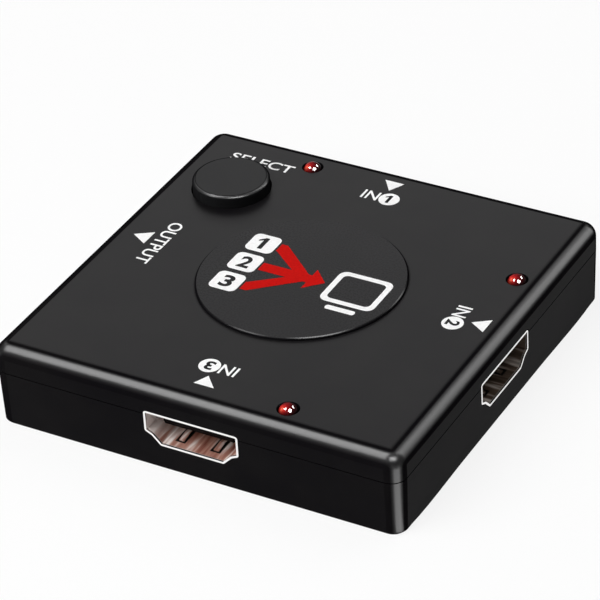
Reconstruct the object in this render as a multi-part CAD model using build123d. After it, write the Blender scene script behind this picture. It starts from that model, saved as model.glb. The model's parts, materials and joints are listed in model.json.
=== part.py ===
from build123d import *

import math
import os

# Small video switch box: a flat square housing in two covers, with one video socket in
# the middle of each side, a sprung select button, three indicator lamps and a round plate.
# Millimetres. The origin is the middle of the underside, Z points up, and the front
# face, at the low end of Y, holds the socket of input 3.

# General
overrun = 1.0  # how far every cut runs past the face that it opens

# Housing
box_width = 63.0
box_height = 12.75
corner_radius = 2.3
top_edge_radius = 1.9
upper_height = 4.0  # from the seam to the top
side_narrowing = 0.2  # the lower cover is this much narrower on each side at the table
foot_bevel = 0.25
seam_step = 0.16
side_wall = 1.6
top_wall = 1.8
floor_wall = 1.5

# Lip of the lower cover, which stands up inside the upper one
lip_wall = 0.7
lip_height = 1.0
lip_gap = 0.1
lip_stop = 0.6  # the lip ends this far beside each socket

# Circuit board and what carries it
board_thickness = 1.2
board_gap = 0.3
board_corner = 1.5
post_radius = 1.4
post_inset = 7.5
post_side = 10.5

# Screws and their bosses
screw_inset = 5.9
screw_radius = 1.1
screw_gap = 0.03
screw_hole_gap = 0.3
screw_length = 6.6
screw_head_radius = 2.0
screw_head_height = 1.2
screw_head_gap = 0.3
screw_head_depth = 0.4
screw_recess_depth = 0.6
screw_recess_radius = 0.95
screw_recess_slot = 0.35
pilot_end_gap = 0.5
top_boss_radius = 2.3
floor_boss_radius = 3.1
boss_rib = 0.8
boss_rib_drop = 2.6
boss_rib_gap = 0.3

# Round badge plate in its shallow seat
badge_x = -0.15
badge_y = 0.45
badge_inset = 16.5  # from the side faces to the plate, if it stood in the middle
badge_proud = 0.45
badge_seat_depth = 0.75
badge_gap = 0.12
badge_edge = 0.25

# Select button
button_left_inset = 10.35
button_back_inset = 14.0
button_radius = 5.7
button_proud = 1.8
button_edge_radius = 0.55
button_wall = 1.1
button_gap = 0.2
button_travel = 0.3
flange_reach = 1.0
flange_thickness = 0.8
flange_gap = 0.06
collar_gap = 0.25
collar_wall = 0.8
collar_socket_gap = 0.2
stem_radius = 2.7
stem_gap = 0.15  # between the pressed stem and the switch
stem_rib = 0.8

# Tact switch under the button
switch_width = 6.0
switch_base_height = 3.4
switch_frame_sheet = 0.3
switch_frame_tab = 1.6
switch_frame_drop = 2.2
switch_height = 5.0
switch_corner = 0.5
plunger_radius = 1.75
plunger_gap = 0.08
plunger_flange_reach = 0.45
plunger_flange_thickness = 0.6
chamber_gap = 0.2
chamber_depth = 1.8
dome_radius = 2.2
dome_flat_radius = 0.9
dome_sheet = 0.1
dome_rise = 0.5
terminal_width = 0.7
terminal_sheet = 0.25
terminal_pitch = 4.5
terminal_reach = 0.35
terminal_height = 1.2

# Indicator lamps
lamp_side = 12.9
lamp_inset = 4.35
lamp_radius = 1.45
lamp_height = 5.3
lamp_proud = 0.75
lamp_flange_reach = 0.4
lamp_flange_thickness = 1.0
lamp_gap = 0.15
lead_width = 0.5
lead_pitch = 2.54
tail_gap = 0.15  # from the end of every through-hole piece to the floor
hole_gap = 0.12  # around every through-hole piece

# Video socket. Its outline is given as shares of half the width and of the height.
socket_width = 14.6
socket_height = 5.15
socket_rise = 0.2  # from the middle of the box up to the middle of the socket
socket_depth = 11.5
socket_sheet = 0.3
socket_corner = 0.45
socket_setback = 0.05
socket_gap = 0.15
outline_shares = ((1.0, 1.0), (1.0, 0.36), (0.85, 0.26), (0.67, 0.0))

# Spring tabs, one pair in the upper and one in the lower wall of the shell
tab_side = 2.7
tab_width = 1.0
tab_slot = 0.18
tab_start = 1.7
tab_length = 4.2
tab_rise = 0.25
tab_crest_share = 0.4

# Shell legs
leg_width = 1.2
leg_first = 3.4
leg_second = 9.4
leg_root = 1.2

# Insulator
tongue_width = 10.8
tongue_thickness = 1.5
tongue_height = 1.8  # above the inner floor of the shell
tongue_start = 2.0
tongue_nose = 0.3
insulator_block = 3.5
insulator_gap = 0.05
insulator_foot_width = 9.2
peg_radius = 0.45
peg_sides = 8
peg_side = 3.2

# Contacts
contact_pitch = 1.0
upper_contacts = 10
lower_contacts = 9
contact_width = 0.4
contact_sheet = 0.15
contact_start = 0.7
contact_gap = 0.02
contact_drop = 0.35
contact_foot = 1.0

# Selector chip, in the middle of the board
chip_width = 10.0
chip_height = 1.1
chip_standoff = 0.1
chip_bevel = 0.12
pin_pitch = 0.65
pins_per_side = 12
pin_width = 0.26
pin_sheet = 0.13
pin_shoulder = 0.35
pin_foot = 0.6

# Control chip
control_length = 8.6
control_width = 3.9
control_x = 1.0
control_pitch = 1.27
control_pins_per_side = 7
control_pin_width = 0.42

# Voltage regulator
regulator_length = 6.5
regulator_width = 3.5
regulator_height = 1.6
regulator_pitch = 2.3
regulator_pin_width = 0.75
regulator_tab_width = 3.0

# Voltage regulator, chip capacitors and chip resistors, at places given as shares of half
# the board's width
regulator_shares = (-0.43, -0.39)
passive_length = 1.6
passive_width = 0.8
capacitor_height = 0.8
resistor_height = 0.45
capacitor_shares = (
    (0.28, 0.0), (-0.28, 0.0), (0.0, -0.28), (0.22, 0.24), (-0.22, -0.24),
    (-0.5, -0.56), (-0.36, -0.58), (0.5, 0.3), (0.5, -0.1), (-0.5, 0.12),
)
resistor_shares = (
    (-0.56, 0.3), (0.56, 0.42), (0.56, 0.54), (0.3, 0.56), (0.42, -0.5), (0.52, -0.5),
    (-0.12, -0.46), (0.12, -0.46), (-0.3, 0.42), (-0.34, 0.54), (0.34, -0.34), (-0.42, -0.16),
)

# Heights and places that follow from the sizes above
half_box = box_width / 2
seam_height = box_height - upper_height
socket_low = box_height / 2 + socket_rise - socket_height / 2
board_top = socket_low
board_low = board_top - board_thickness
tail_low = floor_wall + tail_gap
ceiling = box_height - top_wall
cavity_width = box_width - 2 * side_wall
board_width = cavity_width - 2 * board_gap
screw_place = half_box - screw_inset
screw_seat = screw_head_depth + screw_head_height
screw_end = screw_seat + screw_length
badge_radius = half_box - badge_inset
button_x = -half_box + button_left_inset
button_y = half_box - button_back_inset
socket_mouth = -half_box + socket_setback
socket_back = socket_mouth + socket_depth
contact_end = socket_back + 2 * contact_drop + contact_foot
selector_reach = chip_width / 2 + pin_shoulder + pin_foot
control_y = (selector_reach - contact_end) / 2
lamp_low = box_height + lamp_proud - lamp_height
lamp_place = -half_box + lamp_inset
switch_top = board_top + switch_height
frame_top = board_top + switch_base_height + switch_frame_sheet
chamber_floor = board_top + switch_base_height - chamber_depth
plunger_low = chamber_floor + dome_rise + dome_sheet + contact_gap

# Quarter turns from the front face to the face of each socket
socket_turns = {"input_3": 0, "input_2": 1, "input_1": 2, "output": 3}
lamp_turns = {"lamp_3": 0, "lamp_2": 1, "lamp_1": 2}


def turned(shape, quarter_turns):
    # The same shape, moved from the front face to another face of the box.
    return Rot(0, 0, 90 * quarter_turns) * shape


def slab(width, radius, low, high):
    # Square plate with rounded upright corners.
    return Pos(0, 0, low) * extrude(RectangleRounded(width, width, radius), amount=high - low)


def rod(radius, low, high, x=0, y=0):
    # Upright round bar.
    return Pos(x, y, low) * extrude(Circle(radius), amount=high - low)


def block(x_low, x_high, y_low, y_high, z_low, z_high):
    # Straight-sided block between two corners.
    corner = Pos(x_low, y_low, z_low)
    least = (Align.MIN, Align.MIN, Align.MIN)
    return corner * Box(x_high - x_low, y_high - y_low, z_high - z_low, align=least)


def bar_inwards(outline, start, length):
    # Bar that runs inwards from the front face, with the outline as its cross-section.
    mouth = Plane(origin=(0, start, 0), x_dir=(1, 0, 0), z_dir=(0, -1, 0))
    return extrude(mouth * outline, amount=length, dir=(0, 1, 0))


def strip(points, x, width):
    # Flat strip seen from the side: its points are (y, z), and its width lies along X.
    side = Plane.YZ.offset(x - width / 2)
    return extrude(side * Polygon(*points, align=None), amount=width, dir=(1, 0, 0))


def socket_polygon():
    # Outline of a socket shell, wide side up, before its corners are rounded.
    half = socket_width / 2
    right = [(half * across, socket_low + socket_height * up) for across, up in outline_shares]
    left = [(-x, z) for x, z in reversed(right)]
    return Polygon(*right, *left, align=None)


def socket_outline(growth):
    # Rounded outline of a socket shell, grown outwards or, below zero, inwards.
    outline = socket_polygon()
    outline = fillet(outline.vertices(), socket_corner)
    if growth == 0:
        return outline
    return offset(outline, amount=growth)


def screw_places():
    return [(x, y) for x in (-screw_place, screw_place) for y in (-screw_place, screw_place)]


def post_places():
    # One post beside each socket, on the side away from its lamp.
    place = (-post_side, -half_box + post_inset)
    places = []
    for _ in range(4):
        places.append(place)
        place = (-place[1], place[0])
    return places


def lip_ring(outer_half, inner_half, low, high, stop):
    # Square ring along the walls, broken beside each socket.
    outer = slab(2 * outer_half, corner_radius - (half_box - outer_half), low, high)
    inner = slab(2 * inner_half, corner_radius - (half_box - inner_half), low - overrun, high + overrun)
    ring = outer - inner
    gate_half = socket_width / 2 + socket_gap + stop
    for turns in (0, 1):
        gate = block(-gate_half, gate_half, -half_box, half_box, low - overrun, high + overrun)
        ring -= turned(gate, turns)
    return ring


def make_bottom_cover():
    # The tub narrows a little towards the table, and a step in its rim makes the seam a dark line.
    step_low = seam_height - seam_step
    down = Plane(origin=(0, 0, step_low), x_dir=(1, 0, 0), z_dir=(0, 0, -1))
    draft_angle = math.degrees(math.atan(side_narrowing / seam_height))
    outline = RectangleRounded(box_width, box_width, corner_radius)
    cover = extrude(down * outline, amount=step_low, taper=draft_angle)
    cover = chamfer(cover.faces().sort_by(Axis.Z)[0].edges(), foot_bevel)
    rim_width = box_width - 2 * seam_step
    cover += slab(rim_width, corner_radius - seam_step, step_low, seam_height)
    inner_radius = corner_radius - side_wall
    cover -= slab(cavity_width, inner_radius, floor_wall, seam_height + overrun)

    lip_inner = half_box - side_wall
    lip_top = seam_height + lip_height
    cover += lip_ring(lip_inner + lip_wall, lip_inner, seam_height - overrun, lip_top, lip_stop)
    for x, y in screw_places():
        cover += rod(floor_boss_radius, floor_wall / 2, board_low, x, y)
    for x, y in post_places():
        cover += rod(post_radius, floor_wall / 2, board_low, x, y)

    for x, y in screw_places():
        cover -= rod(screw_radius + screw_hole_gap, -overrun, board_low + overrun, x, y)
        cover -= rod(screw_head_radius + screw_head_gap, -overrun, screw_seat, x, y)
    cut = bar_inwards(socket_outline(socket_gap), -half_box - overrun, side_wall + 2 * overrun)
    for turns in socket_turns.values():
        cover -= turned(cut, turns)
    return cover


def make_top_cover():
    cover = slab(box_width, corner_radius, seam_height, box_height)
    cover = fillet(cover.faces().sort_by(Axis.Z)[-1].edges(), top_edge_radius)
    cover -= slab(cavity_width, corner_radius - side_wall, seam_height - overrun, ceiling)

    # Rebate that takes the lower cover's lip
    rebate_outer = half_box - side_wall + lip_wall + lip_gap
    rebate_inner = half_box - side_wall - lip_gap
    rebate_top = seam_height + lip_height + lip_gap
    cover -= lip_ring(rebate_outer, rebate_inner, seam_height - overrun, rebate_top, lip_stop - lip_gap)

    # Screw bosses down to the board, each tied to the roof by two ribs
    rib_end = cavity_width / 2 - boss_rib_gap
    for x, y in screw_places():
        cover += rod(top_boss_radius, board_top, ceiling + top_wall / 2, x, y)
        side_x, side_y = math.copysign(1, x), math.copysign(1, y)
        ends_x, ends_y = sorted((x, side_x * rib_end)), sorted((y, side_y * rib_end))
        rib_low, rib_high = ceiling - boss_rib_drop, ceiling + top_wall / 2
        cover += block(*ends_x, y - boss_rib / 2, y + boss_rib / 2, rib_low, rib_high)
        cover += block(x - boss_rib / 2, x + boss_rib / 2, *ends_y, rib_low, rib_high)

    # Guide collar around the button's flange
    collar_inner = button_radius + flange_reach + collar_gap
    collar_low = socket_low + socket_height + collar_socket_gap
    cover += rod(collar_inner + collar_wall, collar_low, ceiling + top_wall / 2, button_x, button_y)
    cover -= rod(collar_inner, collar_low - overrun, ceiling, button_x, button_y)

    for x, y in screw_places():
        cover -= rod(screw_radius + screw_gap, board_top - overrun, screw_end + pilot_end_gap, x, y)
    seat_low = box_height - badge_seat_depth
    cover -= rod(badge_radius + badge_gap, seat_low, box_height + overrun, badge_x, badge_y)
    cover -= rod(button_radius + button_gap, ceiling - overrun, box_height + overrun, button_x, button_y)
    lamp_hole = rod(lamp_radius + lamp_gap, ceiling - overrun, box_height + overrun, lamp_side, lamp_place)
    for turns in lamp_turns.values():
        cover -= turned(lamp_hole, turns)
    cut = bar_inwards(socket_outline(socket_gap), -half_box - overrun, side_wall + 2 * overrun)
    for turns in socket_turns.values():
        cover -= turned(cut, turns)
    return cover


def make_badge_disc():
    low = box_height - badge_seat_depth
    disc = rod(badge_radius, low, box_height + badge_proud, badge_x, badge_y)
    return chamfer(disc.faces().sort_by(Axis.Z)[-1].edges(), badge_edge)


def make_select_button():
    top = box_height + button_proud
    flange_top = ceiling - flange_gap
    flange_low = flange_top - flange_thickness
    cap = rod(button_radius, flange_low, top)
    cap = fillet(cap.faces().sort_by(Axis.Z)[-1].edges(), button_edge_radius)
    cap += rod(button_radius + flange_reach, flange_low, flange_top)
    cap -= rod(button_radius - button_wall, flange_low - overrun, top - button_wall)

    # Stem that grips the plunger, held to the skirt by four ribs
    stem_low = frame_top + button_travel + stem_gap
    cap += rod(stem_radius, stem_low, top - button_wall / 2)
    reach = button_radius - button_wall / 2
    rib_low = flange_low + flange_thickness / 2
    rib = block(-reach, reach, -stem_rib / 2, stem_rib / 2, rib_low, top - button_wall / 2)
    cap += rib
    cap += turned(rib, 1)
    cap -= rod(plunger_radius + plunger_gap, stem_low - overrun, switch_top)
    return Pos(button_x, button_y, 0) * cap


def terminal_sides():
    return [(x, side) for x in (-terminal_pitch / 2, terminal_pitch / 2) for side in (-1, 1)]


def make_switch_base():
    half = switch_width / 2
    low, high = board_top, board_top + switch_base_height
    base = slab(switch_width, switch_corner, low, high)
    base -= rod(plunger_radius + plunger_flange_reach + chamber_gap, chamber_floor, high + overrun)
    # Flats that take the two side tabs of the metal frame
    tab_half = switch_frame_tab / 2 + hole_gap
    depth = switch_frame_sheet + contact_gap
    for side in (-1, 1):
        x_low, x_high = sorted((side * (half - depth), side * (half + overrun)))
        base -= block(x_low, x_high, -tab_half, tab_half, high - switch_frame_drop - hole_gap, high + overrun)
    return Pos(button_x, button_y, 0) * base


def make_switch_frame():
    half = switch_width / 2
    low = board_top + switch_base_height
    frame = slab(switch_width, switch_corner, low, frame_top)
    for side in (-1, 1):
        x_low, x_high = sorted((side * (half - switch_frame_sheet), side * half))
        tab_half = switch_frame_tab / 2
        tab_high = frame_top - switch_frame_sheet / 2
        frame += block(x_low, x_high, -tab_half, tab_half, low - switch_frame_drop, tab_high)
    frame -= rod(plunger_radius + plunger_gap, low - overrun, frame_top + overrun)
    return Pos(button_x, button_y, 0) * frame


def make_switch_plunger():
    # The flange rests under the frame, and the round end reaches up into the cap.
    flange_high = plunger_low + plunger_flange_thickness
    plunger = rod(plunger_radius, plunger_low, switch_top)
    plunger += rod(plunger_radius + plunger_flange_reach, plunger_low, flange_high)
    return Pos(button_x, button_y, 0) * plunger


def make_switch_dome():
    # Shallow snap dome of thin sheet with a flat crown, revolved from its half section.
    flat_inner = dome_flat_radius - dome_sheet
    foot_inner = dome_radius - dome_sheet
    top = dome_rise + dome_sheet
    section = Polygon(
        (0, dome_rise), (flat_inner, dome_rise), (foot_inner, 0), (dome_radius, 0),
        (dome_flat_radius, top), (0, top), align=None,
    )
    dome = revolve(Plane.XZ * section, axis=Axis.Z)
    return Pos(button_x, button_y, chamber_floor) * dome


def make_switch_terminals():
    # Four formed legs: out of the base, then straight down through the board.
    half = switch_width / 2
    inner, outer = half, half + terminal_reach
    high = board_top + terminal_height
    low = tail_low
    legs = []
    for x, side in terminal_sides():
        points = [
            (side * inner, high), (side * outer, high), (side * outer, low),
            (side * (outer - terminal_sheet), low), (side * (outer - terminal_sheet), high - terminal_sheet),
            (side * inner, high - terminal_sheet),
        ]
        legs.append(Pos(button_x, button_y, 0) * strip(points, x, terminal_width))
    return Compound(children=legs)


def make_lamp_lens():
    # Common 3 mm lamp: a bullet with a collar at its foot.
    shoulder = box_height + lamp_proud - lamp_radius
    lens = rod(lamp_radius, lamp_low, shoulder)
    lens += Pos(0, 0, shoulder) * Sphere(lamp_radius)
    lens += rod(lamp_radius + lamp_flange_reach, lamp_low, lamp_low + lamp_flange_thickness)
    return Pos(lamp_side, lamp_place, 0) * lens


def make_lamp_leads():
    leads = []
    for x in (lamp_side - lead_pitch / 2, lamp_side + lead_pitch / 2):
        x_low, y_low = x - lead_width / 2, lamp_place - lead_width / 2
        leads.append(block(x_low, x_low + lead_width, y_low, y_low + lead_width, tail_low, lamp_low))
    return leads


def spring_tab(x, wall_face, inward):
    # One bent tab. It is held at its inner end, rises to a crest, and its free end
    # comes back to the wall. inward is +1 in the lower wall and -1 in the upper one.
    start = socket_mouth + tab_start + tab_slot
    end = socket_mouth + tab_start + tab_length
    crest = start + tab_crest_share * (end - start)
    root = end + socket_sheet
    rise = inward * tab_rise
    sheet = inward * socket_sheet
    lower = [(start, wall_face), (crest, wall_face + rise), (end, wall_face), (root, wall_face)]
    upper = [(y, z + sheet) for y, z in reversed(lower)]
    return strip(lower + upper, x, tab_width)


def make_socket_shell():
    # Folded sheet shell: a tube with the socket's outline and bent tabs and legs.
    outer = bar_inwards(socket_outline(0), socket_mouth, socket_depth)
    inner = bar_inwards(socket_outline(-socket_sheet), socket_mouth - overrun, socket_depth + 2 * overrun)
    shell = outer - inner

    # Windows for the spring tabs, and the tabs in them
    half_window = tab_width / 2 + tab_slot
    window_start = socket_mouth + tab_start
    window_end = window_start + tab_length
    walls = ((socket_low, 1), (socket_low + socket_height, -1))
    for face, inward in walls:
        low, high = sorted((face - inward * overrun / 2, face + inward * (socket_sheet + overrun / 2)))
        for x in (-tab_side, tab_side):
            shell -= block(x - half_window, x + half_window, window_start, window_end, low, high)
            shell += spring_tab(x, face, inward)

    # The lower wall stops short of the back, where the insulator stands on the board
    gate_half = insulator_foot_width / 2 + insulator_gap
    gate_start = socket_back - insulator_block + insulator_gap
    gate_low = socket_low - overrun
    gate_high = socket_low + socket_sheet + insulator_gap
    shell -= block(-gate_half, gate_half, gate_start, socket_back + overrun, gate_low, gate_high)

    # Four legs through the board
    half = socket_width / 2
    leg_high = socket_low + socket_height - leg_root
    for depth in (leg_first, leg_second):
        y = socket_mouth + depth
        for x_low in (-half, half - socket_sheet):
            x_high = x_low + socket_sheet
            shell += block(x_low, x_high, y - leg_width / 2, y + leg_width / 2, tail_low, leg_high)
    return shell


def make_socket_insulator():
    # Moulded block that closes the back of the shell, with the tongue that carries the contacts.
    block_start = socket_back - insulator_block
    outline = offset(socket_polygon(), amount=-socket_sheet - insulator_gap)
    insulator = bar_inwards(outline, block_start, insulator_block)
    tongue_low = socket_low + socket_sheet + tongue_height
    tongue_high = tongue_low + tongue_thickness
    start = socket_mouth + tongue_start
    middle = (tongue_low + tongue_high) / 2
    section = [
        (start, middle), (start + tongue_nose, tongue_low), (block_start + tongue_nose, tongue_low),
        (block_start + tongue_nose, tongue_high), (start + tongue_nose, tongue_high),
    ]
    insulator += strip(section, 0, tongue_width)
    foot_half = insulator_foot_width / 2
    foot_high = socket_low + 2 * socket_sheet
    foot_start = block_start + 2 * insulator_gap
    insulator += block(-foot_half, foot_half, foot_start, socket_back, socket_low, foot_high)
    peg_y = socket_back - insulator_block / 2
    peg = extrude(RegularPolygon(peg_radius, peg_sides), amount=foot_high - board_low)
    for x in (-peg_side, peg_side):
        insulator += Pos(x, peg_y, board_low) * peg
    for x, is_upper in contact_places():
        insulator -= contact_channel(x, is_upper)
    return insulator


def contact_places():
    # Two rows of contacts, half a pitch apart: (x, in the upper row).
    upper = [(contact_pitch * (i - (upper_contacts - 1) / 2), True) for i in range(upper_contacts)]
    lower = [(contact_pitch * (i - (lower_contacts - 1) / 2), False) for i in range(lower_contacts)]
    return upper + lower


def contact_levels(is_upper):
    # Lowest and highest height of a contact on the tongue.
    tongue_low = socket_low + socket_sheet + tongue_height
    if is_upper:
        return tongue_low + tongue_thickness, tongue_low + tongue_thickness + contact_sheet
    return tongue_low - contact_sheet, tongue_low


def contact_channel(x, is_upper):
    # Slot through the insulator's block for one contact.
    low, high = contact_levels(is_upper)
    if is_upper:
        high += contact_gap
    else:
        low -= contact_gap
    half = contact_width / 2 + contact_gap
    start = socket_back - insulator_block - overrun / 2
    return block(x - half, x + half, start, socket_back + overrun, low, high)


def make_contact(x, is_upper):
    # Strip along the tongue, down behind the block and out on the board.
    low, high = contact_levels(is_upper)
    start = socket_mouth + tongue_start + contact_start
    drop = socket_back + (2 * contact_drop if is_upper else contact_drop)
    foot_high = board_top + contact_sheet
    points = [
        (start, low), (drop - contact_sheet, low), (drop - contact_sheet, board_top),
        (contact_end, board_top), (contact_end, foot_high), (drop, foot_high), (drop, high), (start, high),
    ]
    return strip(points, x, contact_width)


def make_circuit_board():
    board = slab(board_width, board_corner, board_low, board_top)
    cuts = []
    for x, y in screw_places():
        cuts.append(rod(screw_radius + screw_hole_gap, board_low - overrun, board_top + overrun, x, y))

    # Slots for the legs of a socket, holes for its pegs, and holes for a lamp's leads
    half_leg = leg_width / 2 + hole_gap
    leg_x = socket_width / 2 - socket_sheet / 2
    half_slot = socket_sheet / 2 + hole_gap
    socket_cuts = []
    for depth in (leg_first, leg_second):
        y = socket_mouth + depth
        for x in (-leg_x, leg_x):
            low, high = board_low - overrun, board_top + overrun
            socket_cuts.append(block(x - half_slot, x + half_slot, y - half_leg, y + half_leg, low, high))
    for x in (-peg_side, peg_side):
        peg_y = socket_back - insulator_block / 2
        socket_cuts.append(rod(peg_radius + hole_gap, board_low - overrun, board_top + overrun, x, peg_y))
    lamp_cuts = []
    half_lead = lead_width / 2 + hole_gap
    for x in (lamp_side - lead_pitch / 2, lamp_side + lead_pitch / 2):
        low, high = board_low - overrun, board_top + overrun
        y = lamp_place
        lamp_cuts.append(block(x - half_lead, x + half_lead, y - half_lead, y + half_lead, low, high))
    for turns in socket_turns.values():
        cuts += [turned(cut, turns) for cut in socket_cuts]
    for turns in lamp_turns.values():
        cuts += [turned(cut, turns) for cut in lamp_cuts]

    # Holes for the terminals of the tact switch
    half_hole = terminal_width / 2 + hole_gap
    for x, side in terminal_sides():
        centre = side * (switch_width / 2 + terminal_reach - terminal_sheet / 2)
        half_slot_y = terminal_sheet / 2 + hole_gap
        hole = block(
            x - half_hole, x + half_hole, centre - half_slot_y, centre + half_slot_y,
            board_low - overrun, board_top + overrun,
        )
        cuts.append(Pos(button_x, button_y, 0) * hole)
    for cut in cuts:
        board -= cut
    return board


def gull_pin(start, height, foot, width, sheet):
    # One gull-wing pin that leaves a chip's side at y = start and runs along Y.
    knee = start + pin_shoulder
    points = [
        (start, height - sheet / 2), (knee - sheet, height - sheet / 2), (knee - sheet, board_top),
        (knee + foot, board_top), (knee + foot, board_top + sheet), (knee, board_top + sheet),
        (knee, height + sheet / 2), (start, height + sheet / 2),
    ]
    return strip(points, 0, width)


def chip_body(length, width, height):
    low = board_top + chip_standoff
    body = Pos(0, 0, low) * Box(length, width, height, align=(Align.CENTER, Align.CENTER, Align.MIN))
    return chamfer(body.faces().sort_by(Axis.Z)[-1].edges(), chip_bevel)


def pin_offsets(count, pitch):
    return [pitch * (i - (count - 1) / 2) for i in range(count)]


def make_selector_pins():
    height = board_top + chip_standoff + chip_height / 2
    pin = gull_pin(chip_width / 2, height, pin_foot, pin_width, pin_sheet)
    pins = []
    for turns in range(4):
        for x in pin_offsets(pins_per_side, pin_pitch):
            pins.append(turned(Pos(x, 0, 0) * pin, turns))
    return pins


def make_control_pins():
    height = board_top + chip_standoff + chip_height / 2
    pin = gull_pin(control_width / 2, height, pin_foot, control_pin_width, pin_sheet)
    pins = []
    for turns in (0, 2):
        for x in pin_offsets(control_pins_per_side, control_pitch):
            pins.append(Pos(control_x, control_y, 0) * turned(Pos(x, 0, 0) * pin, turns))
    return pins


def regulator_place():
    across, up = regulator_shares
    return Pos(across * board_width / 2, up * board_width / 2, 0)


def make_regulator_tabs():
    height = board_top + chip_standoff + regulator_height / 2
    place = regulator_place()
    narrow = gull_pin(regulator_width / 2, height, pin_foot, regulator_pin_width, pin_sheet)
    wide = gull_pin(regulator_width / 2, height, pin_foot, regulator_tab_width, pin_sheet)
    tabs = [place * (Pos(x, 0, 0) * narrow) for x in pin_offsets(3, regulator_pitch)]
    tabs.append(place * turned(wide, 2))
    return tabs


def make_passives(shares, height):
    # Small blocks on the board, each with its length along the nearer edge.
    pieces = []
    for across, up in shares:
        x, y = across * board_width / 2, up * board_width / 2
        turns = 0 if abs(across) < abs(up) else 1
        body = Box(passive_length, passive_width, height, align=(Align.CENTER, Align.CENTER, Align.MIN))
        pieces.append(Pos(x, y, board_top) * turned(body, turns))
    return pieces


def make_cover_screws():
    screws = []
    for x, y in screw_places():
        head = rod(screw_head_radius, screw_head_depth, screw_seat)
        recess_high = screw_head_depth + screw_recess_depth
        for turns in (0, 1):
            slot = block(
                -screw_recess_radius, screw_recess_radius, -screw_recess_slot / 2, screw_recess_slot / 2,
                screw_head_depth - overrun, recess_high,
            )
            head -= turned(slot, turns)
        screw = head + rod(screw_radius, recess_high, screw_end)
        screws.append(Pos(x, y, 0) * screw)
    return screws


def save(name, shape):
    if isinstance(shape, list):
        shape = Compound(children=shape)
    export_step(shape, os.path.join("parts", name + ".step"))


def main():
    os.makedirs("parts", exist_ok=True)
    save("top_cover", make_top_cover())
    save("bottom_cover", make_bottom_cover())
    save("badge_disc", make_badge_disc())
    save("select_button", make_select_button())
    save("switch_base", make_switch_base())
    save("switch_frame", make_switch_frame())
    save("switch_plunger", make_switch_plunger())
    save("switch_dome", make_switch_dome())
    save("switch_terminals", make_switch_terminals())
    save("circuit_board", make_circuit_board())
    save("cover_screws", make_cover_screws())

    lens, leads = make_lamp_lens(), make_lamp_leads()
    for name, turns in lamp_turns.items():
        save(name + "_lens", turned(lens, turns))
        save(name + "_leads", [turned(lead, turns) for lead in leads])

    shell, insulator = make_socket_shell(), make_socket_insulator()
    contacts = [make_contact(x, is_upper) for x, is_upper in contact_places()]
    for name, turns in socket_turns.items():
        save(name + "_socket_shell", turned(shell, turns))
        save(name + "_socket_insulator", turned(insulator, turns))
        save(name + "_socket_contacts", [turned(contact, turns) for contact in contacts])

    save("selector_chip", chip_body(chip_width, chip_width, chip_height))
    save("selector_chip_pins", make_selector_pins())
    save("control_chip", Pos(control_x, control_y, 0) * chip_body(control_length, control_width, chip_height))
    save("control_chip_pins", make_control_pins())
    regulator = chip_body(regulator_length, regulator_width, regulator_height)
    save("voltage_regulator", regulator_place() * regulator)
    save("regulator_tabs", make_regulator_tabs())
    save("chip_capacitors", make_passives(capacitor_shares, capacitor_height))
    save("chip_resistors", make_passives(resistor_shares, resistor_height))


main()
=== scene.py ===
import bpy
import json
import math
from mathutils import Matrix, Quaternion, Vector


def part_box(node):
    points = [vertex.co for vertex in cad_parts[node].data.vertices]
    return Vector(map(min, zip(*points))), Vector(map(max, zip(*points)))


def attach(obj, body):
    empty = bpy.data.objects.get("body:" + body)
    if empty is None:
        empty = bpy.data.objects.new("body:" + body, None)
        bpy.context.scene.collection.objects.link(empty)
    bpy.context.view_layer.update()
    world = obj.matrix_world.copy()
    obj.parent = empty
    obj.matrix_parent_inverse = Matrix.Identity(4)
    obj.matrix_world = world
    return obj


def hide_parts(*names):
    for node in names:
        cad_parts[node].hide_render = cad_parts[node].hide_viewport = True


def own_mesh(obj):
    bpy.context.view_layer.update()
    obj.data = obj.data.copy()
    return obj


# A small black switch box for video, dressed over its CAD pieces.
# Lengths are in millimetres and angles in degrees, unless a note says otherwise.
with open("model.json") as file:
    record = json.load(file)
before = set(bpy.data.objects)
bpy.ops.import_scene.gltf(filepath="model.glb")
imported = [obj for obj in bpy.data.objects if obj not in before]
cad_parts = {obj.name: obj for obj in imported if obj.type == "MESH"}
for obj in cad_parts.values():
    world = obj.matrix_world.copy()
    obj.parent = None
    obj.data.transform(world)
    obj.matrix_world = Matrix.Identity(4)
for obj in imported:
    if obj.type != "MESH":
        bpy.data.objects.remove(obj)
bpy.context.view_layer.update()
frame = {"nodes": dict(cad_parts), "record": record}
mm = 0.001
scene = bpy.context.scene
print("frame loaded:", len(frame["nodes"]), "pieces")


def boxOf(node):
    low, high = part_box(node)
    return Vector(low) / mm, Vector(high) / mm


topHeight = boxOf("top_cover")[1].z
plateLow, plateHigh = boxOf("badge_disc")
plateCentre = (plateLow + plateHigh) / 2


# Camera: a long lens, placed by the angles from which it looks at its aim
cameraView = {
    "lens": 201.77, "sensor": 36, "clip": (20, 20000),
    "aim": (-3.02, 4.47, 6.0), "distance": 477.3,
    "azimuth": 30.64, "elevation": 34.14, "roll": -3.47,
}


def makeCamera(look):
    azimuth, elevation = math.radians(look["azimuth"]), math.radians(look["elevation"])
    back = Vector((
        math.sin(azimuth) * math.cos(elevation),
        -math.cos(azimuth) * math.cos(elevation),
        math.sin(elevation),
    ))
    data = bpy.data.cameras.new("photoCamera")
    data.lens, data.sensor_width = look["lens"], look["sensor"]
    data.clip_start, data.clip_end = (end * mm for end in look["clip"])
    camera = bpy.data.objects.new("photoCamera", data)
    camera.location = (Vector(look["aim"]) + back * look["distance"]) * mm
    turn = (-back).to_track_quat("-Z", "Y") @ Quaternion((0, 0, 1), math.radians(look["roll"]))
    camera.rotation_euler = turn.to_euler()
    scene.collection.objects.link(camera)
    scene.camera = camera


makeCamera(cameraView)
scene.view_settings.view_transform = "Standard"
print("camera placed")


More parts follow.
